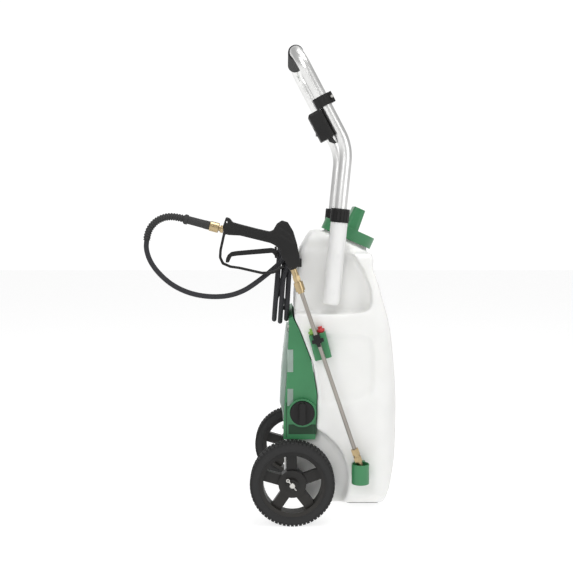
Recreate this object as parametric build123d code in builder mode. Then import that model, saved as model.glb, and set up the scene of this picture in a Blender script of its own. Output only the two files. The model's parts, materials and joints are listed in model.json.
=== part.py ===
from build123d import *
import os
from math import cos, pi, radians, sin, tan

# Wheeled pressure washer with its own water tank.
# Millimetres, +Z up, +X towards the front of the tank, the user stands on the -X side.
# The origin is the centre of the front foot's lower face, on the floor.

os.makedirs("parts", exist_ok=True)

# ---------------------------------------------------------------- driving dimensions
AXLE_X, AXLE_Z, AXLE_R = -170, 95, 6
RUNNING_FIT = 0.05
WHEEL_R, WHEEL_Y, TYRE_WIDTH = 95, 180, 40
RIM_R, RIM_INNER_R, RIM_WIDTH, HUB_R, HUB_LENGTH, SPOKES = 74, 65, 34, 31, 40, 5

TANK_HALF, TANK_WALL, ARCH_Y, ARCH_R = 160, 4, 138, 127
SCOOP_Y, HUMP_HALF = 121, 116
TUNNEL_R = 6.3

CAP_CENTRE = (-42.5, 0, 636.5)
CAP_TILT = 24
CAP_R, CAP_WALL, CAP_HEIGHT = 63, 4, 27
NECK_R, NECK_BORE_R, NECK_HEIGHT, SEAL_THICK = 56, 50, 20, 2.5

LEG_Y, LEG_R, LEG_WALL = 141, 14, 1.5
LEG_LEAN, LEG_RAKE = 5.6, 28
BEND = Vector(-49, 0, 844)
CROSSBAR_Z, LEG_END_Z = 1057, 600
BEND_R, CORNER_R = 110, 48
SLEEVE_R, SLEEVE_TOP_Z, SLEEVE_END_Z, SPIGOT_R = 19, 676, 492, 16.2
COLLAR_R, COLLAR_LENGTH, CLEARANCE = 21, 30, 0.3

COVER_HALF, COVER_WALL = 156, 3
KNOB_X, KNOB_Z, KNOB_R = -147.6, 250, 27

GUN_Y = -190
LANCE_R = 4.5
LANCE_TOP = Vector(-150, GUN_Y, 522)
LANCE_END = Vector(-32, GUN_Y, 174)

HOSE_R = 5.6
COIL_CENTRE = (-191, -40, 545)
COIL_TILT, COIL_MEAN_R, COIL_AXIAL, COIL_RADIAL = 4, 82, 38, 34

FOOT_LENGTH, FOOT_WIDTH, FOOT_HEIGHT = 84, 56, 36


def write(piece, node):
    piece.part.label = node
    export_step(piece.part, f"parts/{node}.step")


def side(y):
    """Upright plane at that y: sketch x is X, sketch y is Z, and a positive extrude goes towards -Y."""
    return Plane.XZ.offset(-y)


def along(start, direction, x_dir=(0, 1, 0)):
    return Plane(origin=start, x_dir=x_dir, z_dir=direction)


# ---------------------------------------------------------------- directions of the handle
lean = Vector(sin(radians(LEG_LEAN)), 0, cos(radians(LEG_LEAN)))
rake = Vector(-sin(radians(LEG_RAKE)), 0, cos(radians(LEG_RAKE)))
user_side = Vector(-cos(radians(LEG_RAKE)), 0, -sin(radians(LEG_RAKE)))


def on_lower_leg(z, y=0):
    return BEND + lean * ((z - BEND.Z) / lean.Z) + Vector(0, y, 0)


def on_upper_leg(distance, y=0):
    return BEND + rake * distance + Vector(0, y, 0)


# ---------------------------------------------------------------- tank
tank_outline = [
    (-188, 70), (-188, 186), (-117, 186), (-113, 290), (-124, 360), (-153, 436), (-166, 462),
    (-166, 505), (-153, 610), (-126, 655), (-104, 657), (8, 606), (12, 592), (9, 575), (23, 539),
    (33, 503), (44, 467), (52, 431), (58, 385), (63, 340), (67, 294), (69, 240), (68, 190),
    (65, 138), (59, 105), (52, 70), (37, 36), (-150, 36),
]
scoop_outline = [
    (-260, 620), (-52, 620), (-30, 600), (-8, 565), (6, 525), (8, 492), (-2, 478), (-40, 472),
    (-130, 472), (-170, 476), (-260, 476),
]
panel_outline = [
    (-132, 424), (-100, 426), (-20, 426), (8, 418), (14, 380), (14, 320), (8, 290), (-20, 272),
    (-60, 268), (-104, 268), (-104, 300), (-110, 340),
]


def tank_form(inset):
    """The tank's outer form, drawn in by that much everywhere: 0 is the outside, the wall is the inside."""
    with BuildPart() as form:
        with BuildSketch(Plane.XZ):
            with BuildLine():
                Polyline(tank_outline, close=True)
            make_face()
            if inset:
                offset(amount=-inset, kind=Kind.INTERSECTION)
        extrude(amount=TANK_HALF - inset, both=True)
        with BuildSketch(Plane.XY):
            with BuildLine():
                FilletPolyline(
                    (-188 + inset, -TANK_HALF + inset), (69 - inset, -TANK_HALF + inset),
                    (69 - inset, TANK_HALF - inset), (-188 + inset, TANK_HALF - inset),
                    radius=[58 - inset, 58 - inset], close=False,
                )
                Line((-188 + inset, TANK_HALF - inset), (-188 + inset, -TANK_HALF + inset))
            make_face()
        extrude(amount=700, mode=Mode.INTERSECT)
        with BuildSketch(Plane.YZ):
            with BuildLine():
                half, hump = TANK_HALF - inset, HUMP_HALF - inset
                Polyline(
                    (-half + 24, 30), (half - 24, 30), (half, 56), (half, 598 - inset),
                    (half - 10, 608 - inset), (hump + 8, 608 - inset), (hump, 616 - inset), (hump, 640 - inset),
                    (hump - 20, 660), (-hump + 20, 660), (-hump, 640 - inset), (-hump, 616 - inset),
                    (-hump - 8, 608 - inset), (-half + 10, 608 - inset), (-half, 598 - inset), (-half, 56), close=True,
                )
            make_face()
        extrude(amount=300, both=True, mode=Mode.INTERSECT)
        for sign in (-1, 1):
            with BuildSketch(side(sign * (SCOOP_Y - inset))):
                with BuildLine():
                    Polyline(scoop_outline, close=True)
                make_face()
                if inset:
                    offset(amount=inset, kind=Kind.INTERSECTION)
            extrude(amount=-sign * (TANK_HALF - SCOOP_Y + inset + 1), mode=Mode.SUBTRACT)
            with BuildSketch(side(sign * (TANK_HALF - 6 - inset))):
                with BuildLine():
                    Polyline(panel_outline, close=True)
                make_face()
                if inset:
                    offset(amount=inset, kind=Kind.INTERSECTION)
            extrude(amount=-sign * (6 + inset + 1), mode=Mode.SUBTRACT)
            with BuildSketch(side(sign * (ARCH_Y - inset))):
                with Locations((AXLE_X, AXLE_Z)):
                    Circle(ARCH_R + inset)
            extrude(amount=-sign * 40, mode=Mode.SUBTRACT)
    return form.part


cap_axis = Vector(sin(radians(CAP_TILT)), 0, cos(radians(CAP_TILT)))
cap_plane = Plane(origin=CAP_CENTRE, x_dir=(cap_axis.Z, 0, -cap_axis.X), z_dir=cap_axis)

outside, inside = tank_form(0), tank_form(TANK_WALL)
with BuildPart() as tank:
    add(outside)
    with BuildSketch(cap_plane.offset(-16)):
        Circle(NECK_R - 2)
    extrude(amount=NECK_HEIGHT + 16)
    add(inside, mode=Mode.SUBTRACT)
    with BuildSketch(cap_plane.offset(-26)):
        Circle(NECK_BORE_R)
    extrude(amount=NECK_HEIGHT + 27, mode=Mode.SUBTRACT)
    with BuildSketch(side(ARCH_Y)):
        with Locations((AXLE_X, AXLE_Z)):
            Circle(TUNNEL_R + 6)
    extrude(amount=2 * ARCH_Y)
    with BuildSketch(side(ARCH_Y + 1)):
        with Locations((AXLE_X, AXLE_Z)):
            Circle(TUNNEL_R)
    extrude(amount=2 * ARCH_Y + 2, mode=Mode.SUBTRACT)
write(tank, "tank")

# ---------------------------------------------------------------- foot
with BuildPart() as tank_foot:
    with BuildSketch(Plane.XY):
        RectangleRounded(FOOT_LENGTH, FOOT_WIDTH, 12)
    with BuildSketch(Plane.XY.offset(FOOT_HEIGHT)):
        RectangleRounded(FOOT_LENGTH - 12, FOOT_WIDTH - 12, 8)
    loft()
write(tank_foot, "tank_foot")

# ---------------------------------------------------------------- axle and wheels
AXLE_END = WHEEL_Y + HUB_LENGTH / 2 + 9
PIN_Y, PIN_R = AXLE_END - 3.5, 1.3
pin_way = Vector(cos(radians(50)), 0, -sin(radians(50)))
with BuildPart() as axle:
    with BuildSketch(side(AXLE_END)):
        with Locations((AXLE_X, AXLE_Z)):
            Circle(AXLE_R)
    extrude(amount=2 * AXLE_END)
    chamfer(axle.edges().filter_by(GeomType.CIRCLE), 1)
    for sign in (-1, 1):
        with BuildSketch(along(Vector(AXLE_X, sign * PIN_Y, AXLE_Z), pin_way)):
            Circle(PIN_R)
        extrude(amount=20, both=True, mode=Mode.SUBTRACT)
write(axle, "axle")

with BuildPart() as axle_washers:
    for sign in (-1, 1):
        for gap in (0.4, HUB_LENGTH + 2.2):
            with BuildSketch(side(sign * (WHEEL_Y - HUB_LENGTH / 2 - 2.2 + gap))):
                with Locations((AXLE_X, AXLE_Z)):
                    Circle(12)
                    Circle(AXLE_R, mode=Mode.SUBTRACT)
            extrude(amount=-sign * 1.6)
write(axle_washers, "axle_washers")

with BuildPart() as split_pins:
    for sign in (-1, 1):
        pin_centre = Vector(AXLE_X, sign * PIN_Y, AXLE_Z)
        with BuildSketch(along(pin_centre - pin_way * 13, pin_way)):
            Circle(PIN_R)
        extrude(amount=27)
        with BuildSketch(along(pin_centre - pin_way * 15, (0, 1, 0), (1, 0, 0))):
            Circle(4)
            Circle(1.8, mode=Mode.SUBTRACT)
        extrude(amount=1.2, both=True)
write(split_pins, "split_pins")


def wheel_rim(sign):
    face_y = sign * WHEEL_Y
    with BuildPart() as rim:
        with BuildSketch(side(face_y)):
            with Locations((AXLE_X, AXLE_Z)):
                Circle(RIM_R)
                Circle(RIM_INNER_R, mode=Mode.SUBTRACT)
        extrude(amount=RIM_WIDTH / 2, both=True)
        with BuildSketch(side(face_y)):
            with Locations((AXLE_X, AXLE_Z)):
                Circle(HUB_R)
        extrude(amount=HUB_LENGTH / 2 - 6, both=True)
        with BuildSketch(side(face_y)):
            with Locations((AXLE_X, AXLE_Z)):
                with PolarLocations((HUB_R + RIM_INNER_R) / 2, SPOKES, start_angle=92):
                    Rectangle(RIM_INNER_R - HUB_R + 6, 24)
        extrude(amount=8, both=True)
        with BuildSketch(side(face_y)):
            with Locations((AXLE_X, AXLE_Z)):
                Circle(13)
        extrude(amount=HUB_LENGTH / 2, both=True)
        with BuildSketch(side(face_y)):
            with Locations((AXLE_X, AXLE_Z)):
                Circle(AXLE_R + RUNNING_FIT)
        extrude(amount=HUB_LENGTH, both=True, mode=Mode.SUBTRACT)
    return rim


def tyre(sign):
    with BuildPart() as ring:
        with BuildSketch(Plane.XY):
            with BuildLine():
                half = TYRE_WIDTH / 2
                Polyline((RIM_R, -half + 3), (RIM_R, half - 3), (RIM_R + 5, half))
                Line((RIM_R + 5, half), (WHEEL_R - 6, half))
                ThreePointArc((WHEEL_R - 6, half), (WHEEL_R, 0), (WHEEL_R - 6, -half))
                Polyline((WHEEL_R - 6, -half), (RIM_R + 5, -half), (RIM_R, -half + 3))
            make_face()
        revolve(axis=Axis.Y)
    return ring.part.located(Location((AXLE_X, sign * WHEEL_Y, AXLE_Z)))


for sign, name in ((-1, "left"), (1, "right")):
    write(wheel_rim(sign), f"wheel_{name}")
    with BuildPart() as wheel_tyre:
        add(tyre(sign))
    write(wheel_tyre, f"tyre_{name}")

# ---------------------------------------------------------------- telescopic handle


def leg_plane(z, y):
    return along(on_lower_leg(z, y), lean)


def sleeve(y):
    length = (SLEEVE_TOP_Z - SLEEVE_END_Z) / lean.Z
    with BuildPart() as tube:
        with BuildSketch(leg_plane(SLEEVE_END_Z, y)):
            Circle(SLEEVE_R)
        extrude(amount=length)
        fillet(tube.edges().filter_by(GeomType.CIRCLE).sort_by(Axis.Z)[0], 7)
        with BuildSketch(leg_plane(SLEEVE_TOP_Z, y)):
            Circle(SPIGOT_R)
        extrude(amount=22)
        with BuildSketch(leg_plane(SLEEVE_END_Z + 5, y)):
            Circle(LEG_R + CLEARANCE)
        extrude(amount=length + 30, mode=Mode.SUBTRACT)
    return tube


def collar(y):
    with BuildPart() as ring:
        with BuildSketch(leg_plane(SLEEVE_TOP_Z + CLEARANCE, y)):
            Circle(COLLAR_R)
            Circle(SPIGOT_R + CLEARANCE, mode=Mode.SUBTRACT)
        extrude(amount=COLLAR_LENGTH)
        with BuildSketch(leg_plane(SLEEVE_TOP_Z + CLEARANCE, y)):
            with PolarLocations(COLLAR_R, 16):
                Circle(1.2)
        extrude(amount=COLLAR_LENGTH - 5, mode=Mode.SUBTRACT)
    return ring


for y, name in ((-LEG_Y, "left"), (LEG_Y, "right")):
    write(sleeve(y), f"sleeve_{name}")
    write(collar(y), f"collar_{name}")

with BuildPart() as sleeve_screws:
    for y in (-LEG_Y, LEG_Y):
        for z in (520, 600):
            outward = -1 if y < 0 else 1
            seat = on_lower_leg(z, y) + Vector(0, outward * (SLEEVE_R - 1.5), 0)
            with BuildSketch(along(seat, (0, outward, 0), (1, 0, 0))):
                Circle(5)
            extrude(amount=3.5)
write(sleeve_screws, "sleeve_screws")

corner_near = on_upper_leg((CROSSBAR_Z - BEND.Z) / rake.Z, -LEG_Y)
corner_far = on_upper_leg((CROSSBAR_Z - BEND.Z) / rake.Z, LEG_Y)
with BuildPart() as handle_tube:
    with BuildLine() as handle_path:
        FilletPolyline(
            on_lower_leg(LEG_END_Z, -LEG_Y), on_upper_leg(0, -LEG_Y), corner_near,
            corner_far, on_upper_leg(0, LEG_Y), on_lower_leg(LEG_END_Z, LEG_Y),
            radius=[BEND_R, CORNER_R, CORNER_R, BEND_R],
        )
    with BuildSketch(along(handle_path.line @ 0, handle_path.line % 0)):
        Circle(LEG_R)
        Circle(LEG_R - LEG_WALL, mode=Mode.SUBTRACT)
    sweep(path=handle_path.line)
write(handle_tube, "handle_tube")

GRIP_R, GRIP_GAP = 17.5, 0.3
grip_start = corner_near + Vector(0, CORNER_R, 0)
with BuildPart() as handle_grip:
    with BuildSketch(along(grip_start, (0, 1, 0), x_dir=(1, 0, 0))):
        Circle(GRIP_R)
        Circle(LEG_R + GRIP_GAP, mode=Mode.SUBTRACT)
    extrude(amount=2 * (LEG_Y - CORNER_R))
write(handle_grip, "handle_grip")

# ---------------------------------------------------------------- switch on the handle
CLAMP_START, CLAMP_END, CLAMP_R = 100, 124, 19
SCREW_START = on_upper_leg((CLAMP_START + CLAMP_END) / 2, -LEG_Y) + Vector(21 * 0.883, -11, 21 * 0.469)


def leg_section(distance):
    """Plane across the near upper leg: sketch x points to the user's side, sketch y to -Y."""
    return along(on_upper_leg(distance, -LEG_Y), rake, user_side)


with BuildPart() as switch_clamp:
    with BuildSketch(leg_section(CLAMP_START)):
        Circle(CLAMP_R)
        with Locations((-CLAMP_R + 2, 0)):
            Rectangle(14, 16)
        with Locations((CLAMP_R - 4, 0)):
            Rectangle(12, 30)
        Circle(LEG_R, mode=Mode.SUBTRACT)
        with Locations((-CLAMP_R, 0)):
            Rectangle(12, 2, mode=Mode.SUBTRACT)
    extrude(amount=CLAMP_END - CLAMP_START)
    with BuildSketch(along(SCREW_START, (0, 1, 0), rake)):
        Circle(2)
    extrude(amount=30, mode=Mode.SUBTRACT)
write(switch_clamp, "switch_clamp")

with BuildPart() as clamp_screw:
    with BuildSketch(along(SCREW_START, (0, 1, 0), rake)):
        Circle(2)
    extrude(amount=22)
    with BuildSketch(along(SCREW_START, (0, 1, 0), rake)):
        Circle(3.2)
    extrude(amount=3)
write(clamp_screw, "clamp_screw")

BOX_START, BOX_END, BOX_NEAR, BOX_DEEP, BOX_WIDE = 34, 99.8, 14.6, 47, 42
with BuildPart() as switch_box:
    with BuildSketch(leg_section(BOX_START)):
        with Locations(((BOX_NEAR + BOX_DEEP) / 2, 0)):
            RectangleRounded(BOX_DEEP - BOX_NEAR, BOX_WIDE, 6)
    extrude(amount=BOX_END - BOX_START)
    chamfer(switch_box.edges().group_by(Axis.Z)[-1], 4)
    with BuildSketch(along(on_upper_leg(66, -LEG_Y) + user_side * BOX_DEEP, user_side, rake)):
        RectangleRounded(34, 24, 3)
    extrude(amount=-12, mode=Mode.SUBTRACT)
write(switch_box, "switch_box")

ROCKER_PIVOT = on_upper_leg(66, -LEG_Y) + user_side * (BOX_DEEP - 3)
with BuildPart() as switch_rocker:
    with BuildSketch(Plane(origin=ROCKER_PIVOT - Vector(0, 11, 0), x_dir=rake, z_dir=(0, 1, 0))):
        with BuildLine():
            Polyline((-15, -1), (-15, -7), (-2, -1), (15, -4), (15, 1), (0, 3), (-15, -1), close=False)
        make_face()
    extrude(amount=22)
write(switch_rocker, "switch_rocker")

with BuildPart() as switch_gland:
    with BuildSketch(leg_section(BOX_START)):
        with Locations((24, 0)):
            Circle(6)
    extrude(amount=-7)
    with BuildSketch(leg_section(BOX_START - 7)):
        with Locations((24, 0)):
            Circle(6)
    with BuildSketch(leg_section(BOX_START - 16)):
        with Locations((18.6, 0)):
            Circle(3)
    loft()
write(switch_gland, "switch_gland")

# ---------------------------------------------------------------- filler cap
with BuildPart() as cap:
    with BuildSketch(cap_plane):
        Circle(CAP_R)
        Circle(CAP_R - CAP_WALL, mode=Mode.SUBTRACT)
    extrude(amount=CAP_HEIGHT - 4)
    with BuildSketch(cap_plane.offset(CAP_HEIGHT - 4)):
        Circle(CAP_R)
    extrude(amount=4)
    with BuildSketch(cap_plane.offset(CAP_HEIGHT)):
        RectangleRounded(34, 112, 10)
    with BuildSketch(cap_plane.offset(CAP_HEIGHT + 50)):
        RectangleRounded(27, 96, 8)
    loft()
write(cap, "cap")

with BuildPart() as cap_seal:
    with BuildSketch(cap_plane.offset(NECK_HEIGHT)):
        Circle(NECK_R - 2.5)
        Circle(NECK_BORE_R + 0.5, mode=Mode.SUBTRACT)
    extrude(amount=SEAL_THICK)
write(cap_seal, "cap_seal")

# ---------------------------------------------------------------- pump cover and what it holds
cover_outline = [
    (-118, 187.5), (-114.5, 290), (-125.5, 360), (-154.5, 436), (-167, 460), (-170, 466), (-177, 462),
    (-178, 430), (-182, 330), (-187, 270), (-190, 222), (-190, 187.5),
]
DOOR_LOW, DOOR_HIGH, DOOR_HALF = 222, 418, 88
with BuildPart() as pump_cover:
    with BuildSketch(Plane.XZ):
        with BuildLine():
            Polyline(cover_outline, close=True)
        make_face()
    extrude(amount=COVER_HALF, both=True)
    with BuildSketch(Plane.XZ):
        with BuildLine():
            Polyline(cover_outline, close=True)
        make_face()
        offset(amount=-COVER_WALL, kind=Kind.INTERSECTION)
    extrude(amount=COVER_HALF - COVER_WALL, both=True, mode=Mode.SUBTRACT)
    with BuildSketch(Plane.YZ.offset(-195)):
        with Locations((0, (DOOR_LOW + DOOR_HIGH) / 2)):
            Rectangle(2 * DOOR_HALF, DOOR_HIGH - DOOR_LOW)
    extrude(amount=24, mode=Mode.SUBTRACT)
    with BuildSketch(side(-COVER_HALF)):
        with Locations((KNOB_X, KNOB_Z)):
            Circle(KNOB_R + 5)
            Circle(KNOB_R + 1, mode=Mode.SUBTRACT)
    extrude(amount=12)
    with BuildSketch(side(-COVER_HALF)):
        with Locations((KNOB_X, KNOB_Z)):
            Circle(6.5)
    extrude(amount=-10, mode=Mode.SUBTRACT)
write(pump_cover, "pump_cover")

with BuildPart() as control_knob:
    with BuildSketch(side(-COVER_HALF - 1)):
        with Locations((KNOB_X, KNOB_Z)):
            Circle(KNOB_R)
    extrude(amount=16)
    with BuildSketch(side(-COVER_HALF - 17)):
        with Locations((KNOB_X, KNOB_Z)):
            SlotOverall(2 * KNOB_R - 4, 13, rotation=90)
    extrude(amount=12)
    with BuildSketch(side(-COVER_HALF - 1)):
        with Locations((KNOB_X, KNOB_Z)):
            Circle(6)
    extrude(amount=-14)
write(control_knob, "control_knob")

with BuildPart() as pump_head:
    with BuildSketch(side(-139)):
        with Locations((-149, 250)):
            RectangleRounded(46, 64, 6)
    extrude(amount=-44)
    with BuildSketch(side(-95)):
        with Locations((-149, 250)):
            Circle(6)
    extrude(amount=20, mode=Mode.SUBTRACT)
write(pump_head, "pump_head")

with BuildPart() as motor:
    with BuildSketch(side(-94.8)):
        with Locations((-149, 250)):
            Circle(25)
    extrude(amount=-84)
    with BuildSketch(side(-94.8)):
        with Locations((-149, 250)):
            Circle(4 + RUNNING_FIT)
    extrude(amount=-80, mode=Mode.SUBTRACT)
write(motor, "motor")

with BuildPart() as motor_shaft:
    with BuildSketch(side(-113)):
        with Locations((-149, 250)):
            Circle(4)
    extrude(amount=-96)
write(motor_shaft, "motor_shaft")

with BuildPart() as battery:
    with BuildSketch(Plane.XY.offset(226)):
        with Locations((-152, 52)):
            RectangleRounded(52, 78, 6)
    extrude(amount=104)
write(battery, "battery")

with BuildPart() as battery_cradle:
    with BuildSketch(Plane.XY.offset(192)):
        with Locations((-152, 52)):
            RectangleRounded(60, 88, 4)
    extrude(amount=33.5)
write(battery_cradle, "battery_cradle")

with BuildPart() as controller:
    with BuildSketch(side(-80)):
        with Locations((-166, 335)):
            Rectangle(16, 80)
    extrude(amount=-70)
write(controller, "controller")

door_outline = [
    (-178.9, 424), (-184, 424), (-192, 360), (-197, 310), (-199, 262), (-192, 234), (-191, 216),
    (-190.4, 216), (-190.4, 224), (-187.5, 268), (-182.4, 332), (-178.4, 420),
]
with BuildPart() as battery_door:
    with BuildSketch(Plane.XZ):
        with BuildLine():
            Polyline(door_outline, close=True)
        make_face()
    extrude(amount=DOOR_HALF + 8, both=True)
    with BuildSketch(Plane.XZ):
        with BuildLine():
            Polyline([(-170, 417), (-180.5, 417), (-189.5, 360), (-194.5, 310), (-196.5, 262), (-189.5, 226),
                      (-170, 226)], close=True)
        make_face()
    extrude(amount=DOOR_HALF, both=True, mode=Mode.SUBTRACT)
write(battery_door, "battery_door")

OUTLET = Vector(-160, 178, 405)
with BuildPart() as outlet_fitting:
    with BuildSketch(Plane.XY.offset(OUTLET.Z - 34)):
        with Locations((OUTLET.X, OUTLET.Y)):
            Circle(8)
    extrude(amount=20)
    with BuildSketch(Plane.XY.offset(OUTLET.Z - 14)):
        with Locations((OUTLET.X, OUTLET.Y)):
            RegularPolygon(9.5, 6)
    extrude(amount=14)
    with BuildSketch(side(COVER_HALF)):
        with Locations((OUTLET.X, OUTLET.Z - 26)):
            Circle(7)
    extrude(amount=-(OUTLET.Y - COVER_HALF))
write(outlet_fitting, "outlet_fitting")

with BuildPart() as cover_screws:
    for y in (-130, 130):
        for z in (210, 440):
            with BuildSketch(Plane.YZ.offset(-190.2 if z < 300 else -178.0)):
                with Locations((y, z)):
                    Circle(4.5)
            extrude(amount=-2.5)
write(cover_screws, "cover_screws")

# ---------------------------------------------------------------- water side
with BuildPart() as suction_hose:
    with BuildLine() as suction_path:
        FilletPolyline((-80, -60, 60), (-80, -60, 240), (-112, -60, 240), radius=[24])
    with BuildSketch(along(suction_path.line @ 0, suction_path.line % 0)):
        Circle(7)
    sweep(path=suction_path.line)
write(suction_hose, "suction_hose")

with BuildPart() as suction_filter:
    with BuildSketch(Plane.XY.offset(41)):
        with Locations((-80, -60)):
            Circle(16)
    extrude(amount=19)
write(suction_filter, "suction_filter")

with BuildPart() as drain_plug:
    with BuildSketch(Plane.YZ.offset(61.5)):
        with Locations((0, 78)):
            Circle(9)
    extrude(amount=6)
write(drain_plug, "drain_plug")

# ---------------------------------------------------------------- nozzle holder, clip and cup on the tank's left side
HOLDER_TILT = 14.5
tilt_x = Vector(cos(radians(HOLDER_TILT)), 0, sin(radians(HOLDER_TILT)))
tilt_z = Vector(-sin(radians(HOLDER_TILT)), 0, cos(radians(HOLDER_TILT)))
HOLDER_CENTRE = Vector(-108, 0, 402)
HOLDER_Y, HOLDER_DEEP = -171, 21.5


def holder_plane(up, y):
    """Level plane of the tilted holder: sketch x runs along its width, sketch y towards -Y."""
    return Plane(origin=HOLDER_CENTRE + tilt_z * up + Vector(0, y, 0), x_dir=tilt_x, z_dir=tilt_z)


with BuildPart() as nozzle_holder:
    with BuildSketch(holder_plane(-29, HOLDER_Y)):
        RectangleRounded(38, HOLDER_DEEP, 5)
    extrude(amount=58)
    with BuildSketch(holder_plane(6, HOLDER_Y)):
        with Locations((-9.5, 0), (9.5, 0)):
            Circle(6.5)
    extrude(amount=30, mode=Mode.SUBTRACT)
write(nozzle_holder, "nozzle_holder")

for name, across in (("nozzle_fan", -9.5), ("nozzle_jet", 9.5)):
    with BuildPart() as nozzle:
        with BuildSketch(holder_plane(7, HOLDER_Y)):
            with Locations((across, 0)):
                Circle(6.1)
        extrude(amount=24)
        with BuildSketch(holder_plane(31, HOLDER_Y)):
            with Locations((across, 0)):
                Circle(9)
        extrude(amount=6)
        with BuildSketch(holder_plane(37, HOLDER_Y)):
            with Locations((across, 0)):
                Circle(5)
        extrude(amount=6)
    write(nozzle, name)

lance_way = (LANCE_END - LANCE_TOP).normalized()


def lance_plane(distance):
    return along(LANCE_TOP + lance_way * distance, lance_way)


CLIP_AT = 108
with BuildPart() as lance_clip:
    with BuildSketch(lance_plane(CLIP_AT)):
        Circle(LANCE_R + 3.5)
        with Locations((6, 0)):
            Rectangle(4, 16)
        Circle(LANCE_R + 0.1, mode=Mode.SUBTRACT)
        with Locations((-6, 0)):
            Rectangle(8, 5, mode=Mode.SUBTRACT)
    extrude(amount=10, both=True)
write(lance_clip, "lance_clip")

CUP_X, CUP_LOW, CUP_HIGH, CUP_R, CUP_WALL = -18.5, 96, 141, 19.5, 2
with BuildPart() as lance_cup:
    with BuildSketch(Plane.XY.offset(CUP_LOW)):
        with Locations((CUP_X, GUN_Y)):
            Circle(CUP_R)
        with Locations((CUP_X, -168)):
            Rectangle(24, 15.8)
    extrude(amount=CUP_HIGH - CUP_LOW)
    with BuildSketch(Plane.XY.offset(CUP_LOW + 3)):
        with Locations((CUP_X, GUN_Y)):
            Circle(CUP_R - CUP_WALL)
    extrude(amount=60, mode=Mode.SUBTRACT)
write(lance_cup, "lance_cup")

# ---------------------------------------------------------------- trigger gun and lance
gun_outline = [
    (-314, 688), (-307, 686), (-300, 677), (-278, 671), (-247, 663), (-220, 657), (-212, 660), (-204, 674),
    (-193, 681), (-180, 677), (-168, 657), (-160, 630), (-154, 600), (-153, 582), (-180, 577), (-186, 592),
    (-194, 600), (-197, 618), (-210, 628), (-219, 632), (-252, 640), (-284, 648), (-308, 649), (-319, 652),
    (-321, 668),
]
guard_line = [
    (-318, 656), (-327, 616), (-328, 600), (-322, 587), (-306, 580), (-285, 577), (-237, 566), (-212, 567),
    (-188, 582),
]
GUN_HALF, GUARD_HALF, GUARD_THICK, NECK_START = 16, 6, 5.5, (-166.5, GUN_Y, 584)
with BuildPart() as gun_body:
    with BuildSketch(side(GUN_Y)):
        with BuildLine():
            Polyline(gun_outline, close=True)
        make_face()
    extrude(amount=GUN_HALF, both=True)
    with BuildSketch(side(GUN_Y)):
        with BuildLine():
            Polyline(guard_line)
        trace(line_width=GUARD_THICK)
    extrude(amount=GUARD_HALF, both=True)
    with BuildSketch(side(GUN_Y)):
        with Locations((-313, 677)):
            Circle(2.5)
    extrude(amount=30, both=True, mode=Mode.SUBTRACT)
    with BuildSketch(side(GUN_Y)):
        with BuildLine():
            Polyline([(-222, 600), (-222, 634), (-196, 634), (-192, 610), (-196, 596)], close=True)
        make_face()
    extrude(amount=7, both=True, mode=Mode.SUBTRACT)
write(gun_body, "gun_body")

PIVOT = Vector(-203, GUN_Y, 607)
with BuildPart() as trigger:
    with BuildSketch(side(GUN_Y)):
        with BuildLine():
            Polyline([(-316, 589), (-315, 598), (-311, 606), (-304, 612), (-293, 614), (-216, 621), (-205, 618),
                      (-198, 609), (-200, 601), (-207, 602), (-214, 610), (-290, 604), (-303, 602),
                      (-309, 589)], close=True)
        make_face()
    extrude(amount=6, both=True)
    with BuildSketch(side(GUN_Y)):
        with Locations((PIVOT.X, PIVOT.Z)):
            Circle(2 + RUNNING_FIT)
    extrude(amount=10, both=True, mode=Mode.SUBTRACT)
write(trigger, "trigger")

with BuildPart() as trigger_pin:
    with BuildSketch(side(GUN_Y)):
        with Locations((PIVOT.X, PIVOT.Z)):
            Circle(2)
    extrude(amount=12, both=True)
write(trigger_pin, "trigger_pin")

inlet_way = Vector(-cos(radians(15)), 0, sin(radians(15)))
INLET = Vector(-320, GUN_Y, 661)
with BuildPart() as gun_inlet:
    with BuildSketch(along(INLET, inlet_way)):
        RegularPolygon(9.5, 6)
    extrude(amount=7)
    with BuildSketch(along(INLET + inlet_way * 7, inlet_way)):
        Circle(6)
    extrude(amount=4)
    with BuildSketch(along(INLET + inlet_way * 11, inlet_way)):
        Circle(11)
    extrude(amount=20)
write(gun_inlet, "gun_inlet")

COUPLER_START = -55
with BuildPart() as coupler:
    with BuildSketch(lance_plane(COUPLER_START)):
        Circle(7)
    extrude(amount=16)
    with BuildSketch(lance_plane(COUPLER_START + 16)):
        RegularPolygon(9, 6)
    extrude(amount=10)
    with BuildSketch(lance_plane(COUPLER_START + 26)):
        Circle(7.5)
    extrude(amount=29)
write(coupler, "coupler")

with BuildPart() as coupler_sleeve:
    with BuildSketch(lance_plane(COUPLER_START + 30)):
        Circle(10.5)
        Circle(7.5 + RUNNING_FIT, mode=Mode.SUBTRACT)
    extrude(amount=20)
write(coupler_sleeve, "coupler_sleeve")

lance_length = (LANCE_END - LANCE_TOP).length
with BuildPart() as lance_tube:
    with BuildSketch(lance_plane(0)):
        Circle(LANCE_R)
    extrude(amount=lance_length)
write(lance_tube, "lance_tube")

with BuildPart() as lance_end:
    with BuildSketch(lance_plane(lance_length)):
        RegularPolygon(9.5, 6)
    extrude(amount=13)
    with BuildSketch(lance_plane(lance_length + 13)):
        Circle(7.5)
    extrude(amount=5)
    with BuildSketch(lance_plane(lance_length + 18)):
        RegularPolygon(9.5, 6)
    extrude(amount=12)
    with BuildSketch(lance_plane(lance_length + 30)):
        Circle(6.5)
    extrude(amount=20)
write(lance_end, "lance_end")

# ---------------------------------------------------------------- holder for the gun, hook for the hose
with BuildPart() as gun_holder:
    with BuildSketch(Plane.XY.offset(578)):
        with BuildLine():
            Polyline([(-169, -172), (-149.5, -172), (-149.5, -121.3), (-155.5, -121.3), (-169, -150)], close=True)
        make_face()
    extrude(amount=18)
write(gun_holder, "gun_holder")

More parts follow.
